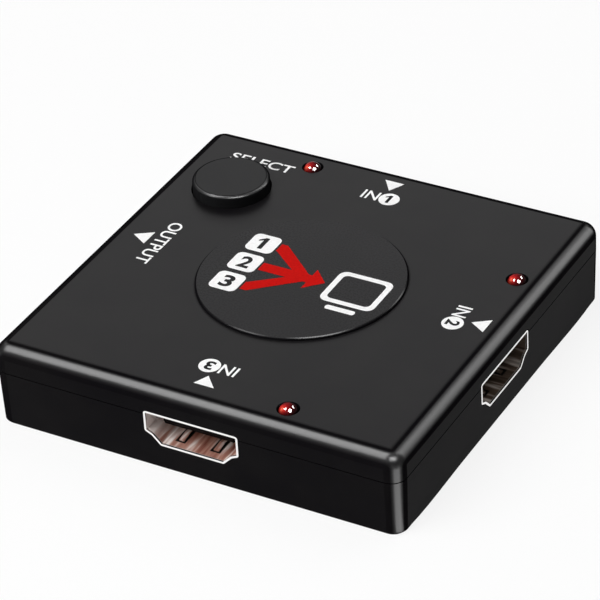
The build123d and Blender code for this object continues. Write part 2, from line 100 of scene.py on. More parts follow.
def linearColour(hexCode):
    # sRGB hex to the linear colour that the shaders take
    parts = [int(hexCode[i:i + 2], 16) / 255 for i in (1, 3, 5)]
    return [p / 12.92 if p <= 0.04045 else ((p + 0.055) / 1.055) ** 2.4 for p in parts] + [1]


def setStops(elements, stops):
    # Stops of a ramp: (place, colour as hex or as a grey number)
    while len(elements) < len(stops):
        elements.new(1)
    for element, (place, colour) in zip(elements, stops):
        element.position = place
        element.color = linearColour(colour) if isinstance(colour, str) else [colour] * 3 + [1]


def addNode(tree, kind, settings=None, links=None):
    # One node. Settings go by the name of a property or input, or the number of an input.
    # A link comes from an output, or from a node, which stands for its first output.
    node = tree.nodes.new(kind)
    for key, value in (settings or {}).items():
        if key == "stops":
            setStops(node.color_ramp.elements, value)
        elif isinstance(key, int) or key in node.inputs:
            node.inputs[key].default_value = value
        else:
            setattr(node, key, value)
    for key, source in (links or {}).items():
        output = source.outputs[0] if isinstance(source, bpy.types.Node) else source
        tree.links.new(output, node.inputs[key])
    return node


def span(low, high, toLow=0.0, toHigh=1.0):
    # Settings that turn one range of numbers into another
    return {"From Min": low, "From Max": high, "To Min": toLow, "To Max": toHigh}


def newMaterial(name):
    material = bpy.data.materials.new(name)
    material.use_nodes = True
    material.node_tree.nodes.clear()
    return material, material.node_tree


def finishSurface(tree, pattern, depth, settings, links):
    # Bump of the pattern, the shader and the output
    bump = addNode(tree, "ShaderNodeBump", {"Strength": 1.0, "Distance": depth * mm}, {"Height": pattern})
    shader = addNode(tree, "ShaderNodeBsdfPrincipled", settings, {**links, "Normal": bump})
    addNode(tree, "ShaderNodeOutputMaterial", links={"Surface": shader})


# Black ABS, injection moulded: covers, plate and cap. The flat faces keep the fine matt skin of the
# spark-eroded mould, whose shine dies away at a low angle. The rolled edges are polished by handling.
coverAbs = {
    "colours": ((0.35, "#0f0e10"), (0.65, "#131213")), "cloud": 9.0, "cloudDetail": 2.0,
    "grain": 0.3, "grainDetail": 3.0, "grainDepth": 0.0002, "rough": span(0.3, 0.7, 0.3, 0.33), "ior": 1.5,
    # Specular level by the angle of view: 0 is seen face on, 1 is seen edge on
    "flatShine": (
        (0.0, 0.04), (0.3, 0.013), (0.35, 0.013), (0.4, 0.047), (0.49, 0.047), (0.54, 0.004),
        (0.61, 0.009), (0.66, 0.009), (0.7, 0.0),
    ),
    "edgeShine": ((0.0, 0.34), (0.36, 0.34), (0.46, 0.06), (0.56, 0.0)),
    # How far the surface has turned where a flat face ends and where a rolled edge begins to shine,
    # and how much it has to face up for that
    "flatEnd": span(0.0005, 0.004), "edgeAbove": span(0.01, 0.07), "edgeBeside": span(0.07, 0.2),
    "edgeLevel": span(0.6, 0.75), "roundEdges": False,
    # Strip of the top beside the front and right edges that has lost its sheen
    "margin": span(29.0 * mm, 29.5 * mm), "marginLevel": 0.9,
    "rimLine": None,
}
plateAbs = dict(
    coverAbs, colours=((0.35, "#0f0e10"), (0.65, "#121113")), rough=span(0.3, 0.7, 0.26, 0.29),
    roundEdges=True, margin=None, edgeShine=((0.0, 0.2), (0.36, 0.2), (0.46, 0.05), (0.56, 0.0)),
    edgeLevel=span(0.6, 0.7), edgeBeside=span(0.4, 0.5),
    rimLine=span((plateHigh.z - 0.14) * mm, (plateHigh.z - 0.1) * mm),  # only the rim's upper part shines
)
capAbs = dict(
    coverAbs, colours=((0.35, "#171718"), (0.65, "#1b1b1c")), roundEdges=True, margin=None,
    edgeLevel=span(0.4, 0.55),
    flatShine=(
        (0.0, 0.04), (0.3, 0.02), (0.35, 0.02), (0.4, 0.038), (0.49, 0.038), (0.54, 0.004), (0.7, 0.0),
    ),
)


def absShine(tree, place, look):
    # Specular level of flat faces and of rolled edges, told apart by how far the surface has turned
    # from level or upright
    facing = addNode(tree, "ShaderNodeLayerWeight", {"Blend": 0.5}).outputs["Facing"]
    normal = addNode(tree, "ShaderNodeNewGeometry").outputs["Normal"]
    sizes = addNode(tree, "ShaderNodeVectorMath", {"operation": "ABSOLUTE"}, {0: normal})
    alongX, alongY, upwards = addNode(tree, "ShaderNodeSeparateXYZ", links={0: sizes}).outputs
    if look["roundEdges"]:
        level = addNode(tree, "ShaderNodeVectorMath", {"operation": "MULTIPLY", 1: (1, 1, 0)}, {0: normal})
        sideways = addNode(tree, "ShaderNodeVectorMath", {"operation": "LENGTH"}, {0: level}).outputs["Value"]
    else:
        sideways = addNode(tree, "ShaderNodeMath", {"operation": "MAXIMUM"}, {0: alongX, 1: alongY})
    straight = addNode(tree, "ShaderNodeMath", {"operation": "MAXIMUM"}, {0: sideways, 1: upwards})
    turned = addNode(tree, "ShaderNodeMath", {"operation": "SUBTRACT", 0: 1.0}, {1: straight})
    dull = addNode(tree, "ShaderNodeMapRange", look["flatEnd"], {"Value": turned})
    placeX, placeY, placeZ = addNode(tree, "ShaderNodeSeparateXYZ", links={0: place}).outputs
    if look["margin"]:
        frontwards = addNode(tree, "ShaderNodeMath", {"operation": "MULTIPLY", 1: -1.0}, {0: placeY})
        reach = addNode(tree, "ShaderNodeMath", {"operation": "MAXIMUM"}, {0: placeX, 1: frontwards})
        strip = addNode(tree, "ShaderNodeMapRange", look["margin"], {"Value": reach})
        onTop = addNode(tree, "ShaderNodeMath", {"operation": "GREATER_THAN", 1: look["marginLevel"]},
                        {0: upwards})
        worn = addNode(tree, "ShaderNodeMath", {"operation": "MULTIPLY"}, {0: strip, 1: onTop})
        dull = addNode(tree, "ShaderNodeMath", {"operation": "MAXIMUM"}, {0: dull, 1: worn})
    flatLevel = addNode(tree, "ShaderNodeValToRGB", {"stops": look["flatShine"]}, {0: facing})
    flat = addNode(tree, "ShaderNodeMix", {3: 0.0}, {0: dull, 2: flatLevel})
    # A rolled edge shines right up to the top face, but not close to a side face
    rolled = addNode(tree, "ShaderNodeMapRange", look["edgeAbove"], {"Value": turned})
    high = addNode(tree, "ShaderNodeMapRange", look["edgeLevel"], {"Value": upwards})
    above = addNode(tree, "ShaderNodeMath", {"operation": "MULTIPLY"}, {0: rolled, 1: high})
    if look["rimLine"]:
        line = addNode(tree, "ShaderNodeMapRange", look["rimLine"], {"Value": placeZ})
        above = addNode(tree, "ShaderNodeMath", {"operation": "MULTIPLY"}, {0: above, 1: line})
    beside = addNode(tree, "ShaderNodeMapRange", look["edgeBeside"], {"Value": turned})
    edge = addNode(tree, "ShaderNodeMath", {"operation": "MAXIMUM"}, {0: above, 1: beside})
    edgeLevel = addNode(tree, "ShaderNodeValToRGB", {"stops": look["edgeShine"]}, {0: facing})
    return addNode(tree, "ShaderNodeMix", links={0: edge, 2: flat, 3: edgeLevel})


def mouldedAbs(name, look):
    material, tree = newMaterial(name)
    place = addNode(tree, "ShaderNodeTexCoord").outputs["Object"]
    # The real grain is near 0.1 mm, too fine to show, so it is drawn about three times as coarse
    grain, cloud = (
        addNode(tree, "ShaderNodeTexNoise", {"Scale": 1 / (look[key] * mm), "Detail": look[key + "Detail"]},
                {"Vector": place})
        for key in ("grain", "cloud")
    )
    colour = addNode(tree, "ShaderNodeValToRGB", {"stops": look["colours"]}, {0: cloud})
    rough = addNode(tree, "ShaderNodeMapRange", look["rough"], {"Value": grain})
    finishSurface(tree, grain, look["grainDepth"], {"IOR": look["ior"]}, {
        "Base Color": colour, "Roughness": rough, "Specular IOR Level": absShine(tree, place, look),
    })
    return material


# Screen-printed ink: flat, a little rough, and slightly uneven in thickness. The real screen is near
# 0.1 mm, too fine to show, so its specks are drawn three times as coarse.
whiteInk = {"colours": ("#f3f2f2", "#fefefe"), "rough": 0.5, "level": 0.04, "speck": 0.35, "depth": 0.001}
redInk = {"colours": ("#b80602", "#c80a04"), "rough": 0.5, "level": 0.01, "speck": 0.35, "depth": 0.001}
blackInk = {"colours": ("#121112", "#191819"), "rough": 0.5, "level": 0.04, "speck": 0.35, "depth": 0.001}

# The grain of the next ones is a few hundredths of a millimetre, too fine to show, so it is drawn coarser.
# Moulded black nylon: a soft sheen over a fine grain
switchNylon = {"colours": ("#101011", "#1d1d1f"), "rough": 0.5, "level": 0.4, "speck": 0.4, "depth": 0.004}
# Glass-filled polymer, moulded: dead black, so that the contacts stand out
socketPolymer = {"colours": ("#060505", "#0c0a0a"), "rough": 0.5, "level": 0.03, "speck": 0.3, "depth": 0.004}
# Epoxy, moulded round the chips: dull charcoal with a sandy grain
chipEpoxy = {"colours": ("#151517", "#222225"), "rough": 0.6, "level": 0.4, "speck": 0.15, "depth": 0.006}
# Fired ceramic: matt tan with fine specks
firedCeramic = {"colours": ("#a58a66", "#bfa37c"), "rough": 0.55, "level": 0.5, "speck": 0.2, "depth": 0.004}
# Glazed ceramic: glossy black, nearly even
glazedCeramic = {"colours": ("#0e0e10", "#1b1b1f"), "rough": 0.25, "level": 0.5, "speck": 0.3, "depth": 0.002}
# Solder mask, cured on the board: glossy green that clouds over the weave
solderMask = {"colours": ("#0c4a22", "#15602f"), "rough": 0.3, "level": 0.5, "speck": 1.6, "depth": 0.006}

# Shared by all of these: the detail of the specks, where the two colours lie in them, and how far the
# roughness strays
plainFinish = {"ior": 1.5, "detail": 4.0, "colourAt": (0.3, 0.7), "roughSpread": 0.15}


def plainSurface(name, look):
    material, tree = newMaterial(name)
    place = addNode(tree, "ShaderNodeTexCoord").outputs["Object"]
    speck = addNode(tree, "ShaderNodeTexNoise", {
        "Scale": 1 / (look["speck"] * mm), "Detail": plainFinish["detail"],
    }, {"Vector": place})
    stops = list(zip(plainFinish["colourAt"], look["colours"]))
    colour = addNode(tree, "ShaderNodeValToRGB", {"stops": stops}, {0: speck})
    roughLow, roughHigh = (look["rough"] * (1 + side * plainFinish["roughSpread"]) for side in (-1, 1))
    rough = addNode(tree, "ShaderNodeMapRange", span(0.0, 1.0, roughLow, roughHigh), {"Value": speck})
    finishSurface(tree, speck, look["depth"], {
        "IOR": plainFinish["ior"], "Specular IOR Level": look["level"],
    }, {"Base Color": colour, "Roughness": rough})
    return material


# Gold plate on the contacts: warm and bright, with the faint lines of the rolled strip
goldPlate = {"colours": ("#d9a441", "#f0c873"), "rough": (0.18, 0.28), "lines": 0.1, "depth": 0.0008}
# Tin plate: pale grey and satin
tinPlate = {"colours": ("#bdbcb8", "#dddcd8"), "rough": (0.3, 0.42), "lines": 0.12, "depth": 0.001}
# Bare rolled spring steel: darker and more mirror-like than the tin
springSteel = {"colours": ("#9b9a98", "#c4c3c1"), "rough": (0.2, 0.3), "lines": 0.1, "depth": 0.001}
# Black zinc on the screws: a dark grey metal with soft highlights
blackZinc = {"colours": ("#1c1c1f", "#35353a"), "rough": (0.3, 0.45), "lines": 0.15, "depth": 0.001}

# Shared by these metals. Rolling lines are a few hundredths of a millimetre wide, too fine to show, so
# they are drawn two to four times as coarse.
rolledSheet = {"stretch": 6, "detail": 3.0, "colourAt": (0.3, 0.7)}


def sheetMetal(name, look):
    material, tree = newMaterial(name)
    place = addNode(tree, "ShaderNodeTexCoord").outputs["Object"]
    stretch = rolledSheet["stretch"]
    stretched = addNode(tree, "ShaderNodeMapping", {"Scale": (1, 1, stretch)}, {"Vector": place})
    lines = addNode(tree, "ShaderNodeTexNoise", {
        "Scale": 1 / (look["lines"] * mm) / stretch, "Detail": rolledSheet["detail"],
    }, {"Vector": stretched})
    stops = list(zip(rolledSheet["colourAt"], look["colours"]))
    colour = addNode(tree, "ShaderNodeValToRGB", {"stops": stops}, {0: lines})
    rough = addNode(tree, "ShaderNodeMapRange", span(*rolledSheet["colourAt"], *look["rough"]),
                    {"Value": lines})
    finishSurface(tree, lines, look["depth"], {"Metallic": 1.0}, {"Base Color": colour, "Roughness": rough})
    return material


# Bright nickel over copper: white at the folded rim, thin and dull inside, where tarnish and copper show
# through in streaks that run into the socket. The two sockets on the x axis get a darker copy of these
# colours: painted shade.
nickelShell = {
    "rim": "#fcfbfa", "rimRough": 0.14, "mouth": 31.45, "rimEnd": span(0.17 * mm, 0.34 * mm),
    "inside": ((0.3, "#84483a"), (0.5, "#b98a7a"), (0.68, "#fbf3ee")),
    "sideShade": ((0.3, "#33291f"), (0.5, "#6a594d"), (0.68, "#f0e6de")),
    "insideRough": 0.6, "insideMetal": 0.4,  # the tarnish hides a part of the bare metal
    "paleWall": "#f0e8e4", "paleWallEnd": span(-5.3 * mm, -6.3 * mm),  # the wall at one end is drawn near white
    "streak": (0.9, 9.0, 0.9), "streakDetail": 3.0, "depth": 0.0008,  # streak across, inwards and up
    # Painted shade: a black band along the punched slot round each spring tab
    "slot": "#0d0908", "tabSide": 2.7, "slotSide": 0.59, "slotStart": 1.61,
    "slotShadeWidth": span(0.14 * mm, 0.24 * mm),
}


def socketShell(name, look):
    material, tree = newMaterial(name)
    place = addNode(tree, "ShaderNodeTexCoord").outputs["Object"]
    placeX, placeY, placeZ = addNode(tree, "ShaderNodeSeparateXYZ", links={0: place}).outputs
    sizes = addNode(tree, "ShaderNodeVectorMath", {"operation": "ABSOLUTE"}, {0: place})
    alongX, alongY, _ = addNode(tree, "ShaderNodeSeparateXYZ", links={0: sizes}).outputs
    reach = addNode(tree, "ShaderNodeMath", {"operation": "MAXIMUM"}, {0: alongX, 1: alongY})
    # Sideways place in the socket: y for the sockets on the x axis, x for the others
    onX = addNode(tree, "ShaderNodeMath", {"operation": "GREATER_THAN"}, {0: alongX, 1: alongY})
    sideways = addNode(tree, "ShaderNodeMix", links={0: onX, 2: placeX, 3: placeY})
    inwards = addNode(tree, "ShaderNodeMath", {"operation": "SUBTRACT", 0: look["mouth"] * mm}, {1: reach})
    spot = addNode(tree, "ShaderNodeCombineXYZ", links={"X": sideways, "Y": inwards, "Z": placeZ})
    streakSize = [size * mm for size in look["streak"]]
    streakPlace = addNode(tree, "ShaderNodeVectorMath", {"operation": "DIVIDE", 1: streakSize}, {0: spot})
    streaks = addNode(tree, "ShaderNodeTexNoise", {"Scale": 1.0, "Detail": look["streakDetail"]},
                      {"Vector": streakPlace})
    bare = addNode(tree, "ShaderNodeValToRGB", {"stops": look["inside"]}, {0: streaks})
    # Painted shade: a darker copy of the inside colours, used for the two sockets on the x axis
    sideShade = addNode(tree, "ShaderNodeValToRGB", {"stops": look["sideShade"]}, {0: streaks})
    paleWall = addNode(tree, "ShaderNodeMapRange", look["paleWallEnd"], {"Value": sideways})
    # Slot: a line at a set distance from the tab's middle, closed towards the mouth
    tabSide, slotSide, slotStart = (look[key] * mm for key in ("tabSide", "slotSide", "slotStart"))
    fromMiddle = addNode(tree, "ShaderNodeMath", {"operation": "ABSOLUTE"}, {0: sideways})
    tabOffset = addNode(tree, "ShaderNodeMath", {"operation": "SUBTRACT", 1: tabSide}, {0: fromMiddle})
    fromTab = addNode(tree, "ShaderNodeMath", {"operation": "ABSOLUTE"}, {0: tabOffset})
    pastSide = addNode(tree, "ShaderNodeMath", {"operation": "SUBTRACT", 1: slotSide}, {0: fromTab})
    pastEnd = addNode(tree, "ShaderNodeMath", {"operation": "SUBTRACT", 0: slotStart}, {1: inwards})
    pastSlot = addNode(tree, "ShaderNodeMath", {"operation": "MAXIMUM"}, {0: pastSide, 1: pastEnd})
    fromSlot = addNode(tree, "ShaderNodeMath", {"operation": "ABSOLUTE"}, {0: pastSlot})
    # Painted shade: black close to the slot line, fading out a little further away
    clear = addNode(tree, "ShaderNodeMapRange", look["slotShadeWidth"], {"Value": fromSlot})
    inside = addNode(tree, "ShaderNodeMapRange", look["rimEnd"], {"Value": inwards})
    paleWallColour, slotShadeColour, rimColour = (linearColour(look[key]) for key in ("paleWall", "slot", "rim"))
    # Over the bare streaks go the pale wall, the painted shade of the side sockets and of the slots, and the
    # rim
    mix = {"data_type": "RGBA"}
    withPaleWall = addNode(tree, "ShaderNodeMix", {**mix, 7: paleWallColour}, {0: paleWall, 6: bare}).outputs[2]
    withSideShade = addNode(tree, "ShaderNodeMix", mix, {0: onX, 6: withPaleWall, 7: sideShade}).outputs[2]
    withSlotShade = addNode(tree, "ShaderNodeMix", {**mix, 6: slotShadeColour}, {0: clear, 7: withSideShade}).outputs[2]
    colour = addNode(tree, "ShaderNodeMix", {**mix, 6: rimColour}, {0: inside, 7: withSlotShade}).outputs[2]
    rough = addNode(tree, "ShaderNodeMapRange", span(0.0, 1.0, look["rimRough"], look["insideRough"]),
                    {"Value": inside})
    metal = addNode(tree, "ShaderNodeMapRange", span(0.0, 1.0, 1.0, look["insideMetal"]), {"Value": inside})
    finishSurface(tree, streaks, look["depth"], {}, {
        "Base Color": colour, "Metallic": metal, "Roughness": rough,
    })
    return material


# Clear red epoxy, cast round the chip of each lamp. Its colour is painted light and shade: a warm painted
# glow where the light gathers, which also shines faintly as emission, and painted shade that makes it deep
# red at the rim. Places and distances are shares of the lamp's own width.
lampEpoxy = {
    "paintedGlow": ((0.0, "#ee6a50"), (0.1, "#b8241f"), (0.22, "#7e0d13"), (0.42, "#3a0509"), (0.62, "#150203")),
    "paintedGlowPlace": (0.36, 0.26, 0.95), "paintedGlowStrength": 0.15,
    "rim": ((0.27, 1.0), (0.33, 0.4), (0.38, 0.05)), "rimPlace": (0.5, 0.5, 0),
    "ior": 1.54, "rough": 0.08, "level": 0.14,
}


def castEpoxy(name, look):
    material, tree = newMaterial(name)
    inBox = addNode(tree, "ShaderNodeTexCoord").outputs["Generated"]

    def shadeRound(spot, stops):
        # Colour by the level distance from a spot, for the painted glow and the painted shade of the rim
        away = addNode(tree, "ShaderNodeVectorMath", {"operation": "SUBTRACT", 1: spot}, {0: inBox})
        level = addNode(tree, "ShaderNodeVectorMath", {"operation": "MULTIPLY", 1: (1, 1, 0)}, {0: away})
        distance = addNode(tree, "ShaderNodeVectorMath", {"operation": "LENGTH"}, {0: level}).outputs["Value"]
        return addNode(tree, "ShaderNodeValToRGB", {"stops": stops}, {0: distance})

    # Painted light round one spot, and painted shade that darkens the lens towards its edge
    paintedGlow = shadeRound(look["paintedGlowPlace"], look["paintedGlow"])
    rim = shadeRound(look["rimPlace"], look["rim"])
    colour = addNode(tree, "ShaderNodeMix", {
        "data_type": "RGBA", "blend_type": "MULTIPLY", 0: 1.0,
    }, {6: paintedGlow, 7: rim}).outputs[2]
    # The painted colour also shines faintly as emission
    shader = addNode(tree, "ShaderNodeBsdfPrincipled", {
        "IOR": look["ior"], "Roughness": look["rough"], "Specular IOR Level": look["level"],
        "Emission Strength": look["paintedGlowStrength"],
    }, {"Base Color": colour, "Emission Color": colour})
    addNode(tree, "ShaderNodeOutputMaterial", links={"Surface": shader})
    return material


materials = {
    "black_abs": mouldedAbs("satinBlackAbs", coverAbs),
    "badge_plate": mouldedAbs("satinPlateAbs", plateAbs),
    "button_abs": mouldedAbs("satinCapAbs", capAbs),
    "switch_nylon": plainSurface("mouldedNylon", switchNylon),
    "tinned_steel": sheetMetal("tinPlatedSteel", tinPlate),
    "spring_steel": sheetMetal("bareSpringSteel", springSteel),
    "tinned_lead": sheetMetal("tinPlatedCopper", tinPlate),
    "board_laminate": plainSurface("greenSolderMask", solderMask),
    "black_screw_steel": sheetMetal("blackZincSteel", blackZinc),
    "chip_epoxy": plainSurface("mouldedChipEpoxy", chipEpoxy),
    "capacitor_ceramic": plainSurface("firedCeramic", firedCeramic),
    "resistor_ceramic": plainSurface("glazedCeramic", glazedCeramic),
    "red_epoxy": castEpoxy("castRedEpoxy", lampEpoxy),
    "nickel_shell": socketShell("nickelOverCopper", nickelShell),
    "socket_moulding": plainSurface("filledBlackPolymer", socketPolymer),
    "contact_gold": sheetMetal("goldPlate", goldPlate),
}
inks = {
    "white": plainSurface("whiteScreenInk", whiteInk),
    "red": plainSurface("redScreenInk", redInk),
    "black": plainSurface("blackScreenInk", blackInk),
}
for part in frame["record"]["subparts"]:
    piece = frame["nodes"][part["node"]]
    for slot in piece.material_slots:
        slot.material = materials[part["material_slot"]]
print("materials given to the pieces")


# Dome of the switch, and the button's travel, by which the real dome sinks under the plunger
snapDome = {"node": "switch_dome", "travel": 0.3}


def makeSnapDome(look):
    # Stands in the CAD dome's place, because a CAD piece can't change its shape
    dome = bpy.data.objects.new("snap_dome", frame["nodes"][look["node"]].data.copy())
    scene.collection.objects.link(dome)
    dome.data.materials.clear()
    dome.data.materials.append(materials["spring_steel"])
    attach(dome, "housing")
    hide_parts(look["node"])
    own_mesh(dome)


makeSnapDome(snapDome)
print("snap dome placed")


# Print on the covers: flat ink, drawn as thick as the heaviest print. The weights are how much bolder
# than the plain font the strokes are, as shares of the font's size.
inkSheet = {"thickness": 0.02, "lift": 0.002, "letterWeight": 0.01, "numberWeight": 0.03, "fontSteps": 6}


def placeInk(name, curve, colour, centre, turn, level, size=None):
    # Turns a flat curve or text into a mesh, fits it to a length and height, and lays it down
    holder = bpy.data.objects.new(name + "Outline", curve)
    scene.collection.objects.link(holder)
    bpy.context.view_layer.update()
    mesh = bpy.data.meshes.new_from_object(holder.evaluated_get(bpy.context.evaluated_depsgraph_get()))
    bpy.data.objects.remove(holder)
    if size:
        lows = [min(v.co[i] for v in mesh.vertices) for i in (0, 1)]
        highs = [max(v.co[i] for v in mesh.vertices) for i in (0, 1)]
        for v in mesh.vertices:
            for i in (0, 1):
                middle = (lows[i] + highs[i]) / 2
                v.co[i] = (v.co[i] - middle) / (highs[i] - lows[i]) * size[i] * mm
    spin = Quaternion((0, 0, 1), math.radians(turn))
    height = level + inkSheet["lift"] + inkSheet["thickness"] / 2
    for v in mesh.vertices:
        v.co = spin @ v.co + Vector((centre[0], centre[1], height)) * mm
    piece = bpy.data.objects.new(name, mesh)
    scene.collection.objects.link(piece)
    mesh.materials.clear()
    mesh.materials.append(inks[colour])
    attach(piece, "housing")


def inkPiece(name, loops, colour, centre, turn, level):
    # Flat shape from closed loops; a loop inside another is a hole
    curve = bpy.data.curves.new(name, "CURVE")
    curve.dimensions = "2D"
    curve.fill_mode = "BOTH"
    curve.extrude = inkSheet["thickness"] / 2 * mm
    for loop in loops:
        spline = curve.splines.new("POLY")
        spline.points.add(len(loop) - 1)
        for point, (x, y) in zip(spline.points, loop):
            point.co = (x * mm, y * mm, 0, 1)
        spline.use_cyclic_u = True
    placeInk(name, curve, colour, centre, turn, level)


def inkWord(name, word, size, centre, turn, level, colour, weight=inkSheet["letterWeight"]):
    # Word whose whole outline is size = (length, height)
    text = bpy.data.curves.new(name, "FONT")
    text.body = word
    text.extrude = inkSheet["thickness"] / 2 * mm
    text.offset = weight
    text.resolution_u = inkSheet["fontSteps"]
    placeInk(name, text, colour, centre, turn, level, size)


# Numbers: the 1 is a plain stem with a flag, drawn in shares of its height; the others are letters
inkDigits = {
    "width": 0.66,
    "one": (
        (0.12, -0.5), (0.12, 0.5), (-0.072, 0.5), (-0.36, 0.25), (-0.36, 0.12), (-0.12, 0.27), (-0.12, -0.5),
    ),
}


def inkNumber(name, number, height, centre, turn, level):
    if number == "1":
        loop = [(x * height, y * height) for x, y in inkDigits["one"]]
        inkPiece(name, [loop], "black", centre, turn, level)
    else:
        inkWord(name, number, (inkDigits["width"] * height, height), centre, turn, level, "black",
                inkSheet["numberWeight"])


def circleLoop(radius, steps=48):
    angles = [2 * math.pi * i / steps for i in range(steps)]
    return [(radius * math.cos(angle), radius * math.sin(angle)) for angle in angles]


def roundedBox(width, height, radius, centre=(0, 0), steps=6):
    # Loop of a rectangle with round corners
    loop = []
    for corner, (sx, sy) in enumerate(((1, 1), (-1, 1), (-1, -1), (1, -1))):
        for i in range(steps + 1):
            angle = math.pi / 2 * (corner + i / steps)
            loop.append((
                centre[0] + sx * (width / 2 - radius) + radius * math.cos(angle),
                centre[1] + sy * (height / 2 - radius) + radius * math.sin(angle),
            ))
    return loop


def turnedPlace(along, outward, turn):
    # Place on the top from a label's own directions: along its line and towards its upper side
    a = math.radians(turn)
    return (along * math.cos(a) - outward * math.sin(a), along * math.sin(a) + outward * math.cos(a))


# Labels of the three inputs: the word, a disc with its number, and a triangle towards the socket
inputLabel = {
    "slot": "black_abs", "wordSize": (2.55, 2.15), "wordStart": -4.25,
    "discRadius": 1.55, "numberHeight": 1.95, "triangleHalf": 1.55,
    "places": {
        "1": {"turn": 0, "disc": (1.4, 23.9), "apex": (0.3, 26.0), "base": (0.05, 28.42)},
        "2": {"turn": -90, "disc": (0.35, 23.75), "apex": (-0.86, 26.05), "base": (-0.95, 28.45)},
        "3": {"turn": 180, "disc": (1.52, 22.95), "apex": (0.45, 25.1), "base": (-0.05, 27.3)},
    },
}


def makeInputLabel(number, look):
    spot = look["places"][number]
    turn, (discAlong, discOut) = spot["turn"], spot["disc"]
    discCentre = turnedPlace(discAlong, discOut, turn)
    inkPiece("label_disc_" + number, [circleLoop(look["discRadius"])], "white", discCentre, turn, topHeight)
    inkNumber("label_number_" + number, number, look["numberHeight"], discCentre, turn,
              topHeight + inkSheet["thickness"])
    wordCentre = turnedPlace(discAlong + look["wordStart"] + look["wordSize"][0] / 2, discOut, turn)
    inkWord("label_in_" + number, "IN", look["wordSize"], wordCentre, turn, topHeight, "white")
    (apexAlong, apexOut), (baseAlong, baseOut) = spot["apex"], spot["base"]
    half = look["triangleHalf"]
    triangle = [(apexAlong, apexOut), (baseAlong + half, baseOut), (baseAlong - half, baseOut)]
    inkPiece("label_arrow_" + number, [triangle], "white", (0, 0), turn, topHeight)


for number in inputLabel["places"]:
    makeInputLabel(number, inputLabel)

# Output word with a triangle that points out, and the word at the button
outputLabel = {
    "slot": "black_abs", "turn": -90, "size": (10.95, 2.12), "centre": (-0.31, -23.22),
    "triangle": ((-0.76, -27.73), (0.77, -25.17), (-2.39, -25.15)),
}
selectLabel = {"slot": "black_abs", "turn": 0, "size": (10.3, 2.0), "centre": (-20.25, 25.12)}
outputCentre = turnedPlace(*outputLabel["centre"], outputLabel["turn"])
inkWord("label_output", "OUTPUT", outputLabel["size"], outputCentre, outputLabel["turn"], topHeight,
        "white")
inkPiece("label_arrow_output", [outputLabel["triangle"]], "white", (0, 0), outputLabel["turn"], topHeight)
inkWord("label_select", "SELECT", selectLabel["size"], selectLabel["centre"], selectLabel["turn"], topHeight,
        "white")
print("labels printed")

# Design on the round plate: three numbered tiles whose red tracks join and run to a blank screen
plateArt = {
    "slot": "badge_plate",
    "tile": 4.3, "tileCorner": 0.9, "tileX": -9.0, "tileStep": 5.2, "tileGap": 0.35, "numberHeight": 2.8,
    "track": 1.9, "joinX": -0.7, "arrowTip": 3.7, "arrowHalf": 2.5,
    "screenX": 8.7, "screenWidth": 8.4, "screenHeight": 7.6, "screenBorder": 0.85, "screenCorner": 1.2,
    "standWidth": 4.6, "standHeight": 0.95, "standGap": 1.2, "standCorner": 0.38,
}


def makePlateArt(look):
    centre = (plateCentre.x, plateCentre.y)

    def lay(name, loops, colour):
        inkPiece(name, loops, colour, centre, 0, plateHigh.z)

    half = look["track"] / 2
    start = look["tileX"] + look["tile"] / 2 + look["tileGap"]
    for row, number in ((1, "1"), (0, "2"), (-1, "3")):
        y = row * look["tileStep"]
        tile = roundedBox(look["tile"], look["tile"], look["tileCorner"], (look["tileX"], y))
        lay("plate_tile_" + number, [tile], "white")
        tileCentre = (centre[0] + look["tileX"], centre[1] + y)
        inkNumber("plate_number_" + number, number, look["numberHeight"], tileCentre, 0,
                  plateHigh.z + inkSheet["thickness"])
    # The outer tracks run level, bend by 45 degrees and meet the middle one
    join, bend = look["joinX"], look["joinX"] - look["tileStep"]
    shift = half * math.tan(math.radians(45 / 2))
    for side, name in ((1, "upper"), (-1, "lower")):
        y = side * look["tileStep"]
        loop = [
            (start, y + side * half), (bend + shift, y + side * half), (join + shift + half, side * half),
            (join - shift - half, side * half), (bend - shift, y - side * half), (start, y - side * half),
        ]
        lay("plate_track_" + name, [loop], "red")
    head = look["arrowTip"] - look["arrowHalf"]
    arrow = [
        (start, half), (start, -half), (head, -half), (head, -look["arrowHalf"]), (look["arrowTip"], 0),
        (head, look["arrowHalf"]), (head, half),
    ]
    lay("plate_track_middle", [arrow], "red")
    middle, border = look["screenX"], look["screenBorder"]
    width, height, corner = look["screenWidth"], look["screenHeight"], look["screenCorner"]
    outer = roundedBox(width, height, corner, (middle, 0))
    inner = roundedBox(width - 2 * border, height - 2 * border, corner - border / 2, (middle, 0))
    lay("plate_screen", [outer, inner], "white")
    standY = -height / 2 - look["standGap"]
    stand = roundedBox(look["standWidth"], look["standHeight"], look["standCorner"], (middle, standY))
    lay("plate_stand", [stand], "white")


makePlateArt(plateArt)

# Painted shadow: a black ink ring that stands for the shade in the gap round the plate
gapShadeRing = {"slot": "black_abs", "width": 0.2, "steps": 96}
plateRadius = (plateHigh.x - plateLow.x) / 2
gapShadeLoops = [circleLoop(radius, gapShadeRing["steps"]) for radius in (plateRadius + gapShadeRing["width"], plateRadius)]
inkPiece("plate_gap_shade", gapShadeLoops, "black", (plateCentre.x, plateCentre.y), 0, topHeight)
print("plate printed")


